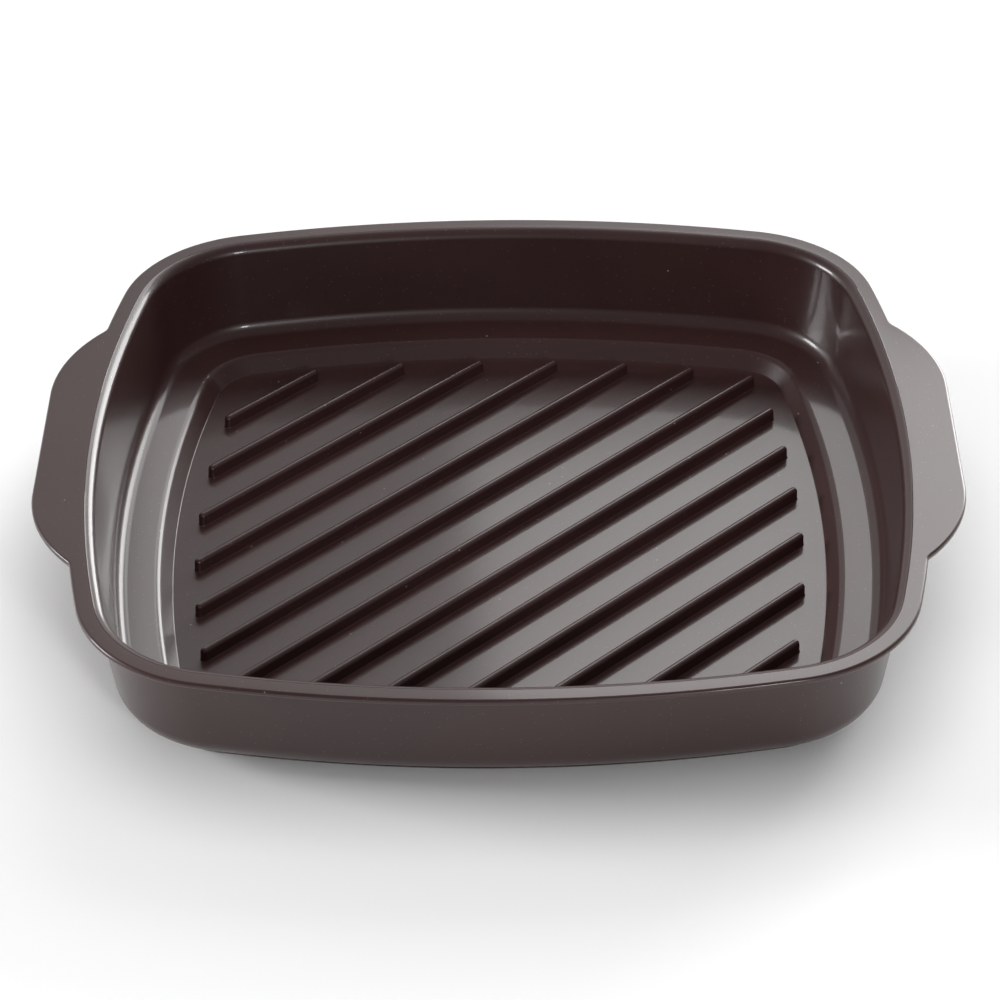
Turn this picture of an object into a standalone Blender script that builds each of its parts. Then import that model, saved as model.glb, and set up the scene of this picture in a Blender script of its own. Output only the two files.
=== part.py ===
"""Square ribbed grill pan with two side grips, cast in one piece and coated.

Metres, +Z up. The origin is the middle of the flat base, so the pan stands on z = 0 with its grips
along X. Every section of the casting is a ring: the plan outline, moved in from the flange's edge by
an inset, at a height. The casting is one body, so the model is one body.
"""

from math import acos, atan2, cos, hypot, pi, radians, sin, sqrt, tan

import bmesh
import bpy
from mathutils import Vector

# Plan outline, at the flange's outer edge
BODY_WIDTH = 0.280  # across the two sides that carry the grips
BODY_DEPTH = 0.280
SIDE_BOW_RADIUS = 0.456  # all four sides bulge outwards a little
CORNER_RADIUS = 0.0495

# Side grips, one piece with the flange
GRIP_REACH = 0.0104  # beyond the body's side
GRIP_LENGTH = 0.0580  # straight part of the grip's outer edge
GRIP_CORNER_RADIUS = 0.057
GRIP_ROOT_RADIUS = 0.005  # hollow corner where the grip leaves the flange

# Section through the wall
HEIGHT = 0.0435
FLANGE_WIDTH = 0.0091  # outer edge to the top of the inner wall
FLANGE_THICKNESS = 0.0022
FLANGE_EDGE_RADIUS = 0.001
MOUTH_RADIUS = 0.0037  # rolls the flange into the wall
WALL_THICKNESS = 0.0028
WALL_DRAFT = radians(8.5)
OUTER_FILLET = 0.010
UNDER_FLANGE_FILLET = 0.0015

# Inside, from the wall down to the floor
LEDGE_HEIGHT = 0.0108  # at the foot of the wall
LEDGE_FILLET = 0.005
LEDGE_WIDTH = 0.0138  # foot of the wall to the edge of the step, without their fillets
LEDGE_SLOPE = radians(6)  # falls towards the middle of the pan
STEP_LEAN = radians(42.5)
STEP_EDGE_RADIUS = 0.002
STEP_FOOT_RADIUS = 0.0006
FLOOR_THICKNESS = 0.0045

# Underneath
BASE_INSET = 0.0212  # from the flange's edge to the side of the raised base
BASE_DEPTH = 0.0048  # how far the base stands below the rest of the underside
BASE_EDGE_RADIUS = 0.0008
BASE_ROOT_RADIUS = 0.0008

# Ribs, raised from the floor
RIB_ANGLE = radians(45)
RIB_PITCH = 0.0189
RIB_HEIGHT = 0.0045
RIB_WIDTH = 0.0030  # at the floor
RIB_CREST_RADIUS = 0.0012
RIB_MARGIN = 0.0086  # end of a crest to the foot of the step
RIB_SHORTEST = 0.012  # a crest shorter than this is left out
RIB_SUNK = 0.0012  # how far a rib's body reaches into the floor

# Points per quarter of a ring and per fillet
SIDE_STEPS = 14
CORNER_STEPS = 7
END_STEPS = 6
FILLET_STEP = radians(26)


def clear_scene():
    for obj in list(bpy.data.objects):
        bpy.data.objects.remove(obj, do_unlink=True)
    for mesh in list(bpy.data.meshes):
        bpy.data.meshes.remove(mesh)


def collection(name, hidden=False):
    made = bpy.data.collections.new(name)
    made.hide_render = hidden
    bpy.context.scene.collection.children.link(made)
    return made


def coating():
    made = bpy.data.materials.new("dark_brown_nonstick_coating")
    made.use_nodes = True
    shader = made.node_tree.nodes["Principled BSDF"]
    shader.inputs["Base Color"].default_value = (0.030, 0.021, 0.020, 1.0)
    shader.inputs["Roughness"].default_value = 0.28
    shader.inputs["Metallic"].default_value = 0.25
    made.diffuse_color = (0.16, 0.12, 0.12, 1.0)
    return made


def circles_meet(first, first_radius, second, second_radius):
    """The crossing of two circles that lies to the left of the line from the first to the second."""
    apart = second - first
    along = (first_radius**2 - second_radius**2 + apart.length_squared) / (2 * apart.length)
    unit = apart.normalized()
    return first + unit * along + Vector((-unit.y, unit.x)) * sqrt(first_radius**2 - along**2)


def arc_centres():
    """Centres of the side's arc, the front and back's arc, and the corner's arc, in the first quarter."""
    side = Vector((BODY_WIDTH / 2 - SIDE_BOW_RADIUS, 0.0))
    end = Vector((0.0, BODY_DEPTH / 2 - SIDE_BOW_RADIUS))
    reach = SIDE_BOW_RADIUS - CORNER_RADIUS
    return side, end, circles_meet(side, reach, end, reach)


def on_arc(centre, radius, angle):
    return centre + radius * Vector((cos(angle), sin(angle)))


def grip_edge(y):
    """X of the flange's edge at the side, grip and root fillet included, or None clear of the grip."""
    side, _, _ = arc_centres()
    knuckle = Vector((BODY_WIDTH / 2 + GRIP_REACH - GRIP_CORNER_RADIUS, GRIP_LENGTH / 2))
    root = circles_meet(
        side, SIDE_BOW_RADIUS + GRIP_ROOT_RADIUS, knuckle, GRIP_CORNER_RADIUS + GRIP_ROOT_RADIUS
    )
    to_knuckle = (knuckle - root).normalized()
    to_side = (side - root).normalized()
    knuckle_end = root.y + GRIP_ROOT_RADIUS * to_knuckle.y
    root_end = root.y + GRIP_ROOT_RADIUS * to_side.y
    y = abs(y)
    if y <= knuckle.y:
        return knuckle.x + GRIP_CORNER_RADIUS
    if y <= knuckle_end:
        return knuckle.x + sqrt(GRIP_CORNER_RADIUS**2 - (y - knuckle.y) ** 2)
    if y < root_end:
        return root.x - sqrt(GRIP_ROOT_RADIUS**2 - (y - root.y) ** 2)
    return None


def outline(inset, grips=False):
    """One ring of the casting, anticlockwise from the middle of the right side."""
    side, end, corner = arc_centres()
    side_angle = atan2(corner.y - side.y, corner.x - side.x)
    end_angle = atan2(corner.y - end.y, corner.x - end.x)
    quarter = []
    for i in range(SIDE_STEPS):
        angle = side_angle * i / SIDE_STEPS
        point = on_arc(side, SIDE_BOW_RADIUS - inset, angle)
        edge = grip_edge(on_arc(side, SIDE_BOW_RADIUS, angle).y) if grips else None
        if edge is not None:
            point.x = edge - inset
        quarter.append(point)
    for i in range(CORNER_STEPS):
        angle = side_angle + (end_angle - side_angle) * i / CORNER_STEPS
        quarter.append(on_arc(corner, CORNER_RADIUS - inset, angle))
    for i in range(END_STEPS + 1):
        angle = end_angle + (pi / 2 - end_angle) * i / END_STEPS
        quarter.append(on_arc(end, SIDE_BOW_RADIUS - inset, angle))
    half = quarter + [Vector((-p.x, p.y)) for p in reversed(quarter[:-1])]
    return half + [Vector((p.x, -p.y)) for p in reversed(half[1:-1])]


def rounded(corners):
    """(inset, height) points of a section whose corners (inset, height, radius) are rounded off.

    The first and the last corner only end the section.
    """
    points = []
    for before, here, after in zip(corners, corners[1:], corners[2:]):
        at = Vector(here[:2])
        back = (Vector(before[:2]) - at).normalized()
        on = (Vector(after[:2]) - at).normalized()
        half_turn = acos(max(-1.0, min(1.0, back.dot(on)))) / 2
        centre = at + (back + on).normalized() * here[2] / sin(half_turn)
        start = at + back * here[2] / tan(half_turn) - centre
        turn = start.angle_signed(at + on * here[2] / tan(half_turn) - centre)
        steps = max(1, round(abs(turn) / FILLET_STEP))
        for i in range(steps + 1):
            angle = -turn * i / steps
            points.append(
                centre
                + Vector(
                    (
                        start.x * cos(angle) - start.y * sin(angle),
                        start.x * sin(angle) + start.y * cos(angle),
                    )
                )
            )
    return points


def wall_inset(height):
    """Inset of the inner face of the wall at a height."""
    return FLANGE_WIDTH + (HEIGHT - MOUTH_RADIUS - height) * tan(WALL_DRAFT)


def step_edge():
    """Inset and height of the edge where the ledge turns down into the step."""
    return wall_inset(LEDGE_HEIGHT) + LEDGE_WIDTH, LEDGE_HEIGHT - LEDGE_WIDTH * tan(LEDGE_SLOPE)


def step_foot_inset():
    inset, height = step_edge()
    return inset + (height - FLOOR_THICKNESS) * tan(STEP_LEAN)


def section():
    """The casting's section, from the base round the outside, over the flange and down to the floor."""
    flange_under = HEIGHT - FLANGE_THICKNESS
    skin = WALL_THICKNESS / cos(WALL_DRAFT)
    foot = step_foot_inset()
    return rounded(
        [
            (foot, 0.0, 0.0),
            (BASE_INSET, 0.0, BASE_EDGE_RADIUS),
            (BASE_INSET, BASE_DEPTH, BASE_ROOT_RADIUS),
            (wall_inset(BASE_DEPTH) - skin, BASE_DEPTH, OUTER_FILLET),
            (wall_inset(flange_under) - skin, flange_under, UNDER_FLANGE_FILLET),
            (0.0, flange_under, FLANGE_EDGE_RADIUS),
            (0.0, HEIGHT, FLANGE_EDGE_RADIUS),
            (wall_inset(HEIGHT), HEIGHT, MOUTH_RADIUS),
            (wall_inset(LEDGE_HEIGHT), LEDGE_HEIGHT, LEDGE_FILLET),
            (*step_edge(), STEP_EDGE_RADIUS),
            (foot, FLOOR_THICKNESS, STEP_FOOT_RADIUS),
            (foot + RIB_MARGIN, FLOOR_THICKNESS, 0.0),
        ]
    )


def loft(rings):
    """A closed mesh through rings of equal length, capped at both ends."""
    bm = bmesh.new()
    loops = [[bm.verts.new(point) for point in ring] for ring in rings]
    for low, high in zip(loops, loops[1:]):
        for i in range(len(low)):
            j = (i + 1) % len(low)
            bm.faces.new((low[i], low[j], high[j], high[i]))
    bm.faces.new(list(reversed(loops[0])))
    bm.faces.new(loops[-1])
    bmesh.ops.recalc_face_normals(bm, faces=bm.faces)
    return bm


def add(name, bm, where, material):
    mesh = bpy.data.meshes.new(name)
    bm.to_mesh(mesh)
    bm.free()
    mesh.materials.append(material)
    mesh.shade_smooth()
    mesh.set_sharp_from_angle(angle=radians(30))
    made = bpy.data.objects.new(name, mesh)
    where.objects.link(made)
    return made


def casting(where, material):
    """Flange, grips, wall, ledge, floor and base in one closed surface."""
    rings = []
    for inset, height in section():
        at_edge = inset < FLANGE_EDGE_RADIUS * 1.01
        rings.append([(p.x, p.y, height) for p in outline(inset, grips=at_edge)])
    return add("grill_pan", loft(rings), where, material)


def crest_ends(middle, along):
    """Where the line through middle crosses the outline that the crests end on, or None."""
    limit = outline(step_foot_inset() + RIB_MARGIN)
    across = Vector((-along.y, along.x))
    crossings = []
    for start, end in zip(limit, limit[1:] + limit[:1]):
        before = (start - middle).dot(across)
        after = (end - middle).dot(across)
        if (before < 0) != (after < 0):
            crossings.append(start + (end - start) * before / (before - after))
    if len(crossings) < 2:
        return None
    return sorted(crossings, key=along.dot)


def rib_section():
    """(half width, height) of a rib: steep sides drawn in to a round crest."""
    crest = FLOOR_THICKNESS + RIB_HEIGHT
    low = FLOOR_THICKNESS - RIB_SUNK
    points = [(RIB_WIDTH / 2, low), (RIB_WIDTH / 2, FLOOR_THICKNESS)]
    for angle in (radians(8), radians(34), radians(62)):
        half = RIB_CREST_RADIUS * cos(angle)
        points.append((half, crest - RIB_CREST_RADIUS * (1 - sin(angle))))
    return points


def rib_ring(first, last, half, height):
    """A stadium of half width half round the crest line, at a height."""
    along = (last - first).normalized()
    heading = atan2(along.y, along.x)
    ring = []
    for centre, turned in ((last, -pi / 2), (first, pi / 2)):
        for i in range(5):
            spot = on_arc(centre, half, heading + turned + pi * i / 4)
            ring.append((spot.x, spot.y, height))
    return ring


def ribs(where, material):
    """Parallel ribs on the slant, as many as the floor takes, the middle one through the centre."""
    along = Vector((cos(RIB_ANGLE), sin(RIB_ANGLE)))
    across = Vector((-along.y, along.x))
    reach = int(hypot(BODY_WIDTH, BODY_DEPTH) / 2 / RIB_PITCH)
    for place in range(-reach, reach + 1):
        ends = crest_ends(across * RIB_PITCH * place, along)
        if ends is None or (ends[-1] - ends[0]).length < RIB_SHORTEST:
            continue
        rings = [rib_ring(ends[0], ends[-1], half, height) for half, height in rib_section()]
        add(f"rib_{place + reach:02d}", loft(rings), where, material)


def join(target, tools):
    union = target.modifiers.new("ribs", "BOOLEAN")
    union.operation = "UNION"
    union.solver = "EXACT"
    union.operand_type = "COLLECTION"
    union.collection = tools
    for tool in tools.objects:
        tool.hide_render = True
        tool.display_type = "WIRE"


clear_scene()
pan_parts = collection("ribbed_grill_pan")
joined_shapes = collection("shapes_joined_to_the_pan", hidden=True)
finish = coating()
pan = casting(pan_parts, finish)
ribs(joined_shapes, finish)
join(pan, joined_shapes)
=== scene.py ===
"""Square ribbed grill pan with two side grips, cast in one piece and coated dark brown."""

from math import acos, atan2, cos, hypot, pi, radians, sin, sqrt, tan

import bmesh
import bpy
from mathutils import Matrix, Vector


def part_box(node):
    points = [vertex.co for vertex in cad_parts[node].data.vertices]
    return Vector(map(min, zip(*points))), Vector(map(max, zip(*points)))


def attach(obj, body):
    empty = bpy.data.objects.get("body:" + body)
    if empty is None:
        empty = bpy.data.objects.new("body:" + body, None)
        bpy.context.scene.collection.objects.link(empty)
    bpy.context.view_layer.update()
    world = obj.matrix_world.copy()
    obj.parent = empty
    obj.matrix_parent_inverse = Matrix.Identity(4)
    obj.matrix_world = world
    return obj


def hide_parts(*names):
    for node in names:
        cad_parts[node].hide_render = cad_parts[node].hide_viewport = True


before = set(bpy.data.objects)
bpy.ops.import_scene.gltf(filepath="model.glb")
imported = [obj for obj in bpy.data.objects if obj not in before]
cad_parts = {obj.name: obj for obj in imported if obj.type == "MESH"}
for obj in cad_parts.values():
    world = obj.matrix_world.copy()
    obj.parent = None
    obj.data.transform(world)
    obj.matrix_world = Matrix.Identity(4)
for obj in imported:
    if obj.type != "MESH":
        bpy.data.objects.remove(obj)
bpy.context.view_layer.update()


# The rim, seen from above. The pan is square with bowed sides and round corners, and the grips are
# flat ears of the same flange, drawn out of the two sides and run back into them by a small hollow.

node_low, node_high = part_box("grill_pan")
HEIGHT = node_high.z
BODY_SIDE = node_high.y - node_low.y
SIDE_BOW_RADIUS = 0.456
CORNER_RADIUS = 0.0495
GRIP_REACH = (node_high.x - node_low.x - BODY_SIDE) / 2
GRIP_LENGTH = 0.0580
GRIP_CORNER_RADIUS = 0.057
GRIP_ROOT_RADIUS = 0.005
FLANGE_EDGE_RADIUS = 0.001

# Points along each stretch of a quarter of the outline
GRIP_STEPS = 6
KNUCKLE_STEPS = 40
SIDE_STEPS = 22
CORNER_STEPS = 26
END_STEPS = 26


def circles_meet(first, first_radius, second, second_radius):
    """The crossing of two circles that lies to the left of the line from the first to the second."""
    apart = second - first
    along = (first_radius**2 - second_radius**2 + apart.length_squared) / (2 * apart.length)
    unit = apart.normalized()
    return first + unit * along + Vector((-unit.y, unit.x)) * sqrt(first_radius**2 - along**2)


def on_arc(centre, radius, angle):
    return centre + radius * Vector((cos(angle), sin(angle)))


side_centre = Vector((BODY_SIDE / 2 - SIDE_BOW_RADIUS, 0.0))
end_centre = Vector((0.0, BODY_SIDE / 2 - SIDE_BOW_RADIUS))
corner_reach = SIDE_BOW_RADIUS - CORNER_RADIUS
corner_centre = circles_meet(side_centre, corner_reach, end_centre, corner_reach)
knuckle_centre = Vector((BODY_SIDE / 2 + GRIP_REACH - GRIP_CORNER_RADIUS, GRIP_LENGTH / 2))
root_centre = circles_meet(
    side_centre,
    SIDE_BOW_RADIUS + GRIP_ROOT_RADIUS,
    knuckle_centre,
    GRIP_CORNER_RADIUS + GRIP_ROOT_RADIUS,
)
knuckle_end = root_centre.y + GRIP_ROOT_RADIUS * (knuckle_centre - root_centre).normalized().y
root_end = root_centre.y + GRIP_ROOT_RADIUS * (side_centre - root_centre).normalized().y


def grip_edge(y):
    """X of the flange's edge where a grip stands out of it, or None clear of the grip."""
    if y <= knuckle_centre.y:
        return knuckle_centre.x + GRIP_CORNER_RADIUS
    if y <= knuckle_end:
        return knuckle_centre.x + sqrt(GRIP_CORNER_RADIUS**2 - (y - knuckle_centre.y) ** 2)
    if y < root_end:
        return root_centre.x - sqrt(GRIP_ROOT_RADIUS**2 - (y - root_centre.y) ** 2)
    return None


def stretch(start, end, steps):
    return [start + (end - start) * i / steps for i in range(steps)]


def outline(inset, grips=False):
    """One ring of the pan, anticlockwise from the middle of the right side."""
    side_turn = atan2(corner_centre.y - side_centre.y, corner_centre.x - side_centre.x)
    end_turn = atan2(corner_centre.y - end_centre.y, corner_centre.x - end_centre.x)
    heights = stretch(0.0, GRIP_LENGTH / 2, GRIP_STEPS)
    heights += stretch(GRIP_LENGTH / 2, root_end, KNUCKLE_STEPS)
    heights += stretch(root_end, SIDE_BOW_RADIUS * sin(side_turn), SIDE_STEPS)
    quarter = []
    for y in heights:
        point = on_arc(side_centre, SIDE_BOW_RADIUS - inset, atan2(y, sqrt(SIDE_BOW_RADIUS**2 - y**2)))
        edge = grip_edge(y) if grips else None
        if edge is not None:
            point = Vector((edge - inset, y))
        quarter.append(point)
    for turn in stretch(side_turn, end_turn, CORNER_STEPS):
        quarter.append(on_arc(corner_centre, CORNER_RADIUS - inset, turn))
    for turn in stretch(end_turn, pi / 2, END_STEPS) + [pi / 2]:
        quarter.append(on_arc(end_centre, SIDE_BOW_RADIUS - inset, turn))
    half = quarter + [Vector((-p.x, p.y)) for p in reversed(quarter[:-1])]
    return half + [Vector((p.x, -p.y)) for p in reversed(half[1:-1])]


# The shell: a flat base standing a little proud, a drafted wall under a narrow flange, and inside a
# ledge at the foot of the wall with a leaning step down to the floor. All corners are cast round.

FLANGE_WIDTH = 0.0091
FLANGE_FLAT = 0.0048
FLANGE_DIP = 0.00022  # of its inner part, down to the mouth
FLANGE_DIP_RADIUS = 0.03
FLANGE_THICKNESS = 0.0022
MOUTH_RADIUS = 0.0037
WALL_THICKNESS = 0.0028
WALL_DRAFT = radians(8.5)
OUTER_FILLET = 0.010
UNDER_FLANGE_FILLET = 0.0015
LEDGE_HEIGHT = 0.0108
LEDGE_FILLET = 0.005
LEDGE_WIDTH = 0.0138
LEDGE_SLOPE = radians(6)
STEP_LEAN = radians(42.5)
STEP_EDGE_RADIUS = 0.0038
STEP_FOOT_RADIUS = 0.0005
FLOOR_HEIGHT = 0.0045
BASE_INSET = 0.0212
BASE_DEPTH = 0.0048
BASE_EDGE_RADIUS = 0.0008
BASE_ROOT_RADIUS = 0.0008
FILLET_STEP = radians(6)
SMALL_FILLET = 0.0016  # fillets up to this radius take longer steps
SMALL_FILLET_STEP = radians(15)


def rounded(corners):
    """(inset, height) points of a section whose corners (inset, height, radius) are rounded off."""
    points = []
    for before, here, after in zip(corners, corners[1:], corners[2:]):
        at = Vector(here[:2])
        back = (Vector(before[:2]) - at).normalized()
        on = (Vector(after[:2]) - at).normalized()
        half_turn = acos(max(-1.0, min(1.0, back.dot(on)))) / 2
        centre = at + (back + on).normalized() * here[2] / sin(half_turn)
        start = at + back * here[2] / tan(half_turn) - centre
        turn = start.angle_signed(at + on * here[2] / tan(half_turn) - centre)
        step = SMALL_FILLET_STEP if here[2] < SMALL_FILLET else FILLET_STEP
        steps = max(1, round(abs(turn) / step))
        for i in range(steps + 1):
            points.append(centre + Matrix.Rotation(-turn * i / steps, 2) @ start)
    return points


def wall_inset(height):
    """Inset of the inner face of the wall at a height."""
    return FLANGE_WIDTH + (HEIGHT - MOUTH_RADIUS - height) * tan(WALL_DRAFT)


flange_under = HEIGHT - FLANGE_THICKNESS
skin = WALL_THICKNESS / cos(WALL_DRAFT)
ledge_inset = wall_inset(LEDGE_HEIGHT)
edge_inset = ledge_inset + LEDGE_WIDTH
edge_height = LEDGE_HEIGHT - LEDGE_WIDTH * tan(LEDGE_SLOPE)
floor_inset = edge_inset + (edge_height - FLOOR_HEIGHT) * tan(STEP_LEAN)
shell_section = rounded(
    [
        (floor_inset, 0.0, 0.0),
        (BASE_INSET, 0.0, BASE_EDGE_RADIUS),
        (BASE_INSET, BASE_DEPTH, BASE_ROOT_RADIUS),
        (wall_inset(BASE_DEPTH) - skin, BASE_DEPTH, OUTER_FILLET),
        (wall_inset(flange_under) - skin, flange_under, UNDER_FLANGE_FILLET),
        (0.0, flange_under, FLANGE_EDGE_RADIUS),
        (0.0, HEIGHT, FLANGE_EDGE_RADIUS),
        (FLANGE_FLAT, HEIGHT, FLANGE_DIP_RADIUS),
        (wall_inset(HEIGHT), HEIGHT - FLANGE_DIP, MOUTH_RADIUS),
        (ledge_inset, LEDGE_HEIGHT, LEDGE_FILLET),
        (edge_inset, edge_height, STEP_EDGE_RADIUS),
        (floor_inset, FLOOR_HEIGHT, STEP_FOOT_RADIUS),
        (floor_inset * 2, FLOOR_HEIGHT, 0.0),
    ]
)

pan_mesh = bmesh.new()


def add_ring(points, height):
    return [pan_mesh.verts.new((p.x, p.y, height)) for p in points]


def join_rings(rings):
    """Quads between neighbouring rings."""
    for low, high in zip(rings, rings[1:]):
        for i in range(len(low)):
            j = (i + 1) % len(low)
            pan_mesh.faces.new((low[i], low[j], high[j], high[i]))


def ring_edges(ring):
    return [pan_mesh.edges.get((a, b)) for a, b in zip(ring, ring[1:] + ring[:1])]


shell_rings = []
for inset, height in shell_section:
    at_edge = inset < FLANGE_EDGE_RADIUS * 1.01
    shell_rings.append(add_ring(outline(inset, grips=at_edge), height))
join_rings(shell_rings)
bmesh.ops.triangle_fill(pan_mesh, use_beauty=True, edges=ring_edges(shell_rings[0]))


# The ribs: raised from the floor on the slant, steep sided with a round crest and round ends, and
# run into the floor by a small hollow. The middle one goes through the centre of the pan.

RIB_ANGLE = radians(45)
RIB_PITCH = 0.0189
RIB_HEIGHT = 0.0045
RIB_WIDTH = 0.0030
RIB_CREST_RADIUS = 0.0014
RIB_FOOT_RADIUS = 0.0003
RIB_MARGIN = 0.0086
RIB_SHORTEST = 0.012
RIB_POINT_GAP = 0.008  # along the straight sides
RIB_END_STEPS = 16
RIB_CREST_STEPS = 9
RIB_CREST_START = radians(10)  # where the round crest takes over from the side
SAME_POINT = 0.000002
SLIVER = 0.000001

along_ribs = Vector((cos(RIB_ANGLE), sin(RIB_ANGLE)))
across_ribs = Vector((-along_ribs.y, along_ribs.x))


def crest_ends(middle):
    """Where the line through middle crosses the outline that the crests end on, or None."""
    limit = outline(floor_inset + RIB_MARGIN)
    crossings = []
    for start, end in zip(limit, limit[1:] + limit[:1]):
        before = (start - middle).dot(across_ribs)
        after = (end - middle).dot(across_ribs)
        if (before < 0) != (after < 0):
            crossings.append(start + (end - start) * before / (before - after))
    crossings.sort(key=along_ribs.dot)
    if len(crossings) < 2 or (crossings[-1] - crossings[0]).length < RIB_SHORTEST:
        return None
    return crossings[0], crossings[-1]


def rib_section():
    """(half width, height) of a rib, from its hollow foot up to the crest."""
    crest = FLOOR_HEIGHT + RIB_HEIGHT
    points = rounded(
        [
            (RIB_WIDTH, FLOOR_HEIGHT, 0.0),
            (RIB_WIDTH / 2, FLOOR_HEIGHT, RIB_FOOT_RADIUS),
            (RIB_CREST_RADIUS, crest - RIB_CREST_RADIUS, 0.0),
        ]
    )
    for i in range(RIB_CREST_STEPS + 1):
        angle = RIB_CREST_START + (radians(90) - RIB_CREST_START) * i / RIB_CREST_STEPS
        rise = RIB_CREST_RADIUS * (sin(angle) - 1)
        points.append(Vector((RIB_CREST_RADIUS * cos(angle), crest + rise)))
    return points


def rib_ring(first, last, half):
    """A stadium of half width half round the crest line."""
    gaps = max(1, round((last - first).length / RIB_POINT_GAP))
    ring = [last + (first - last) * i / gaps + across_ribs * half for i in range(gaps)]
    ring += [on_arc(first, half, RIB_ANGLE + pi / 2 + pi * i / RIB_END_STEPS) for i in range(RIB_END_STEPS)]
    ring += [first + (last - first) * i / gaps - across_ribs * half for i in range(gaps)]
    ring += [on_arc(last, half, RIB_ANGLE - pi / 2 + pi * i / RIB_END_STEPS) for i in range(RIB_END_STEPS)]
    return ring


floor_edges = ring_edges(shell_rings[-1])
ribs_each_way = int(hypot(BODY_SIDE, BODY_SIDE) / 2 / RIB_PITCH)
for place in range(-ribs_each_way, ribs_each_way + 1):
    ends = crest_ends(across_ribs * RIB_PITCH * place)
    if ends is None:
        continue
    rib_rings = [add_ring(rib_ring(*ends, half), height) for half, height in rib_section()]
    join_rings(rib_rings)
    floor_edges += ring_edges(rib_rings[0])
bmesh.ops.triangle_fill(pan_mesh, use_beauty=True, edges=floor_edges)
bmesh.ops.remove_doubles(pan_mesh, verts=pan_mesh.verts, dist=SAME_POINT)
bmesh.ops.dissolve_degenerate(pan_mesh, edges=pan_mesh.edges, dist=SLIVER)
bmesh.ops.recalc_face_normals(pan_mesh, faces=pan_mesh.faces)


# One casting, so one piece: it stands for the CAD node and never moves.

pan_data = bpy.data.meshes.new("ribbed_pan")
pan_mesh.to_mesh(pan_data)
pan_mesh.free()
pan_data.shade_smooth()
pan = bpy.data.objects.new("ribbed_pan", pan_data)
bpy.context.scene.collection.objects.link(pan)
even_shading = pan.modifiers.new("flats_stay_flat", "WEIGHTED_NORMAL")
even_shading.mode = "FACE_AREA"
even_shading.weight = 100
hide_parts("grill_pan")
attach(pan, "root")


# The coating: a dark red-brown nonstick, sprayed on in two coats and baked. The lower coat is satin with
# fine pale grains of filler in it, and the thin upper one is clear and glossy with a faint orange peel.


class Signal:
    """An output socket of a node tree, or the tree alone. Operators on it add Math nodes."""

    def __init__(self, tree, socket=None):
        self.tree = tree
        self.socket = socket

    def node(self, kind, settings=None, sockets=None, out=0):
        """Adds a node: its settings first, then the values or links of its sockets."""
        made = self.tree.nodes.new(kind)
        for name, value in (settings or {}).items():
            setattr(made, name, value)
        for name, value in (sockets or {}).items():
            socket = self.pick(made.inputs, name)
            if isinstance(value, Signal):
                self.tree.links.new(value.socket, socket)
            else:
                socket.default_value = value
        return Signal(self.tree, self.pick(made.outputs, out))

    def pick(self, sockets, name):
        """A socket by its place, or by its name among those in use."""
        if isinstance(name, int):
            return sockets[name]
        return next(socket for socket in sockets if socket.enabled and socket.name == name)

    def math(self, operation, *values):
        return self.node("ShaderNodeMath", {"operation": operation}, dict(enumerate(values)))

    def __add__(self, other):
        return self.math("ADD", self, other)

    def __mul__(self, other):
        return self.math("MULTIPLY", self, other)

    __radd__ = __add__
    __rmul__ = __mul__

    def between(self, low, high):
        """0 below low, 1 above high and smooth in between; low may be the larger."""
        return self.node(
            "ShaderNodeMapRange",
            {"interpolation_type": "SMOOTHSTEP"},
            {"Value": self, "From Min": low, "From Max": high},
        )


coating = bpy.data.materials.new("dark_brown_nonstick_coating")
coating.use_nodes = True
coat_tree = coating.node_tree
shader = coat_tree.nodes["Principled BSDF"]
pen = Signal(coat_tree)
place = pen.node("ShaderNodeTexCoord", out="Object")


def noise(scale, detail=2.0):
    return pen.node("ShaderNodeTexNoise", None, {"Vector": place, "Scale": scale, "Detail": detail})


def grains(per_metre, radius, share):
    """Round grains, one at most per cell, in this share of the cells."""
    cells = {"Vector": place, "Scale": per_metre}
    away = pen.node("ShaderNodeTexVoronoi", None, cells, out="Distance")
    pick = pen.node("ShaderNodeTexVoronoi", None, cells, out="Color")
    lot = pen.node("ShaderNodeSeparateColor", None, {"Color": pick}, out="Red")
    dot = away.between(radius * per_metre * 1.25, radius * per_metre * 0.75)
    return dot * lot.between(1 - share, 1 - share + 0.01)


ESPRESSO = (0.0280, 0.0105, 0.0105, 1.0)
COCOA = (0.0390, 0.0152, 0.0148, 1.0)
PALE_GRAIN = (0.30, 0.24, 0.21, 1.0)
CLOUDS_PER_METRE = 14.0
GRIT_PER_METRE = 1500.0
PEEL_PER_METRE = 700.0
PEEL_DEPTH = 0.00004
SPECKS_PER_METRE = 230.0
SPECK_RADIUS = 0.00028
FINE_SPECKS_PER_METRE = 900.0
FINE_SPECK_RADIUS = 0.00016


def mixed(share, first, second):
    return pen.node(
        "ShaderNodeMix",
        {"data_type": "RGBA"},
        {"Factor": share, "A": first, "B": second},
        out="Result",
    )


cloud = noise(CLOUDS_PER_METRE, 3.0).between(0.35, 0.65)
grit = noise(GRIT_PER_METRE)
specks = grains(SPECKS_PER_METRE, SPECK_RADIUS, 0.10)
fine_specks = grains(FINE_SPECKS_PER_METRE, FINE_SPECK_RADIUS, 0.16)
brown = mixed(cloud * 0.6 + grit * 0.4, ESPRESSO, COCOA)
colour = mixed(specks * 0.9 + fine_specks * 0.35, brown, PALE_GRAIN)
sheen = grit * 0.08 + cloud * 0.03 + 0.33
peel = noise(PEEL_PER_METRE) + grit * 0.6 + specks * 1.5
surface = pen.node("ShaderNodeBump", None, {"Strength": 0.25, "Distance": PEEL_DEPTH, "Height": peel})
for name, value in {
    "Metallic": 0.0,
    "IOR": 1.45,
    "Coat Weight": 0.5,
    "Coat Roughness": 0.10,
    "Coat IOR": 1.4,
}.items():
    shader.inputs[name].default_value = value
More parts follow.
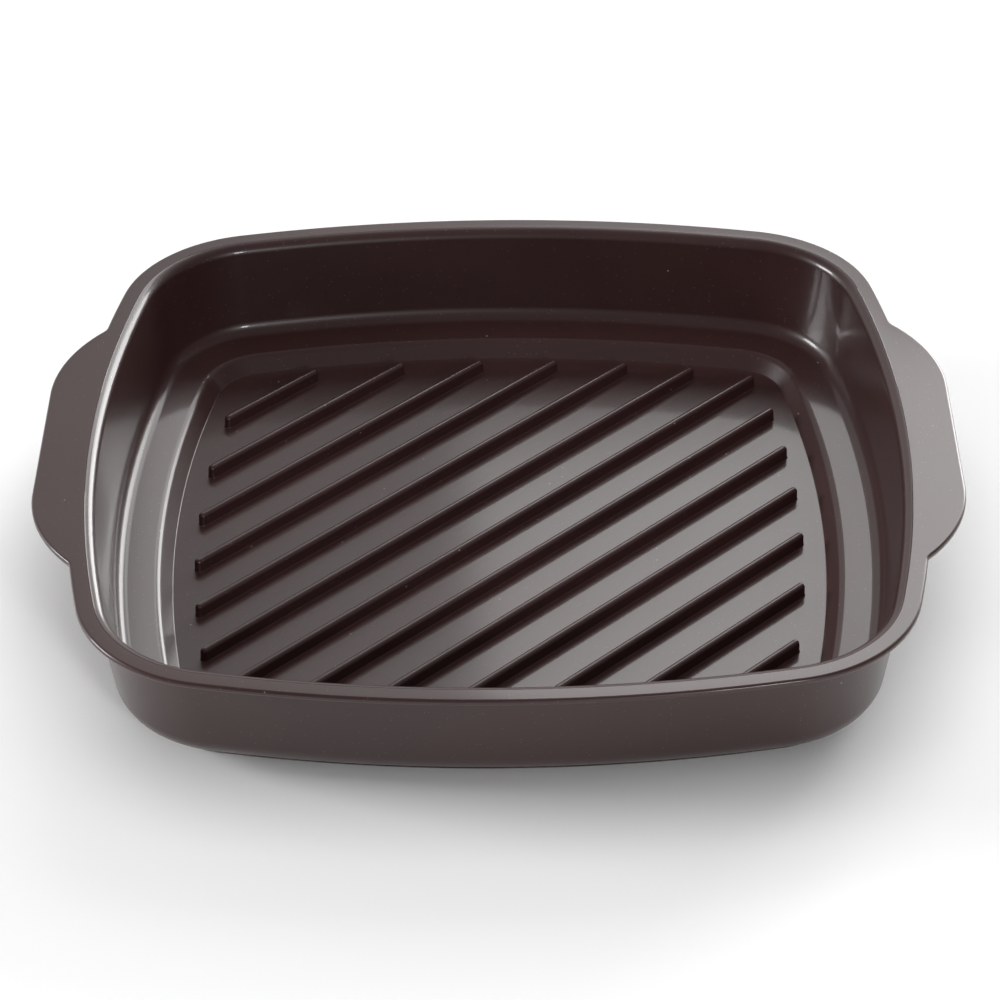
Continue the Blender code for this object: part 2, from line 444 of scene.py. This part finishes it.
for name, value in {"Base Color": colour, "Roughness": sheen, "Normal": surface}.items():
    coat_tree.links.new(value.socket, shader.inputs[name])
pan_data.materials.append(coating)


# The table: a plain white sweep, far larger than the pan, that stands just under its base.

FLOOR_SIDE = 6.0
TABLE_GAP = 0.0002
table_mesh = bmesh.new()
bmesh.ops.create_grid(table_mesh, x_segments=1, y_segments=1, size=FLOOR_SIDE / 2)
table_data = bpy.data.meshes.new("white_table")
table_mesh.to_mesh(table_data)
table_mesh.free()
table = bpy.data.objects.new("white_table", table_data)
table.location.z = -TABLE_GAP
bpy.context.scene.collection.objects.link(table)
paper = bpy.data.materials.new("matt_white_paper")
paper.use_nodes = True
paper_shader = paper.node_tree.nodes["Principled BSDF"]
paper_shader.inputs["Base Color"].default_value = (0.9, 0.9, 0.9, 1.0)
paper_shader.inputs["Roughness"].default_value = 0.9
table_data.materials.append(paper)


# Studio light: a pale surround, brighter toward the back, with two leaning soft boxes behind the pan to
# the right, a small bright lamp at the left and one in front to the right, and two broad weak fills.

SURROUND_GLOW = 0.15
SURROUND_RISE = 0.55  # added toward the back

studio = bpy.data.worlds.new("pale_surround")
studio.use_nodes = True
sky = Signal(studio.node_tree)
direction = sky.node("ShaderNodeTexCoord", out="Generated")
toward_back = sky.node("ShaderNodeSeparateXYZ", None, {"Vector": direction}, out="Y")
glow = SURROUND_GLOW + toward_back.between(0.1, 0.85) * SURROUND_RISE
studio.node_tree.links.new(glow.socket, studio.node_tree.nodes["Background"].inputs["Strength"])
studio.node_tree.nodes["Background"].inputs["Color"].default_value = (1.0, 1.0, 1.0, 1.0)
bpy.context.scene.world = studio


def soft_box(name, bearing, elevation, width, height, radiance, lean=0.0, distance=3.0):
    """A rectangular light that faces the pan. Bearing is clockwise from straight behind it."""
    lamp = bpy.data.lights.new(name, "AREA")
    lamp.shape = "RECTANGLE"
    lamp.size = width
    lamp.size_y = height
    lamp.energy = radiance * pi * width * height
    box = bpy.data.objects.new(name, lamp)
    bearing = radians(bearing)
    elevation = radians(elevation)
    away = Vector((sin(bearing) * cos(elevation), cos(bearing) * cos(elevation), sin(elevation)))
    box.location = away * distance
    facing = away.to_track_quat("Z", "Y").to_matrix()
    box.rotation_euler = (facing @ Matrix.Rotation(radians(lean), 3, "Z")).to_euler()
    box.visible_camera = False
    bpy.context.scene.collection.objects.link(box)


soft_box("back_right_box", bearing=31, elevation=14, width=1.35, height=1.5, radiance=10, lean=15)
soft_box("back_right_top", bearing=16, elevation=38, width=1.4, height=0.7, radiance=5, lean=15)
soft_box("left_lamp", bearing=-84, elevation=17, width=1.0, height=0.7, radiance=28)
soft_box("front_right_lamp", bearing=157, elevation=22, width=0.4, height=0.4, radiance=45)
soft_box("overhead_fill", bearing=0, elevation=89, width=2.4, height=2.4, radiance=1.6, distance=2.5)
soft_box("front_fill", bearing=180, elevation=40, width=2.4, height=1.6, radiance=0.8)
for fill in ("overhead_fill", "front_fill"):
    bpy.data.objects[fill].visible_glossy = False  # they lift the colour without showing in the coat


# The camera: a long lens from the front, looking down on the pan.

CAMERA_DISTANCE = 1.226
CAMERA_ELEVATION = radians(35.08)
CAMERA_BEARING = radians(0.38)
CAMERA_ROLL = radians(-0.66)
CAMERA_AIM = Vector((0.0003, -0.0073, HEIGHT - 0.020))
camera_data = bpy.data.cameras.new("camera")
camera_data.sensor_width = 36.0
camera_data.lens = 133.7
camera_data.clip_start = 0.05
camera = bpy.data.objects.new("camera", camera_data)
toward_camera = Vector(
    (
        sin(CAMERA_BEARING) * cos(CAMERA_ELEVATION),
        -cos(CAMERA_BEARING) * cos(CAMERA_ELEVATION),
        sin(CAMERA_ELEVATION),
    )
)
level = toward_camera.to_track_quat("Z", "Y").to_matrix()
camera.rotation_euler = (level @ Matrix.Rotation(CAMERA_ROLL, 3, "Z")).to_euler()
camera.location = CAMERA_AIM + toward_camera * CAMERA_DISTANCE
bpy.context.scene.collection.objects.link(camera)
bpy.context.scene.camera = camera
bpy.context.scene.view_settings.view_transform = "Standard"
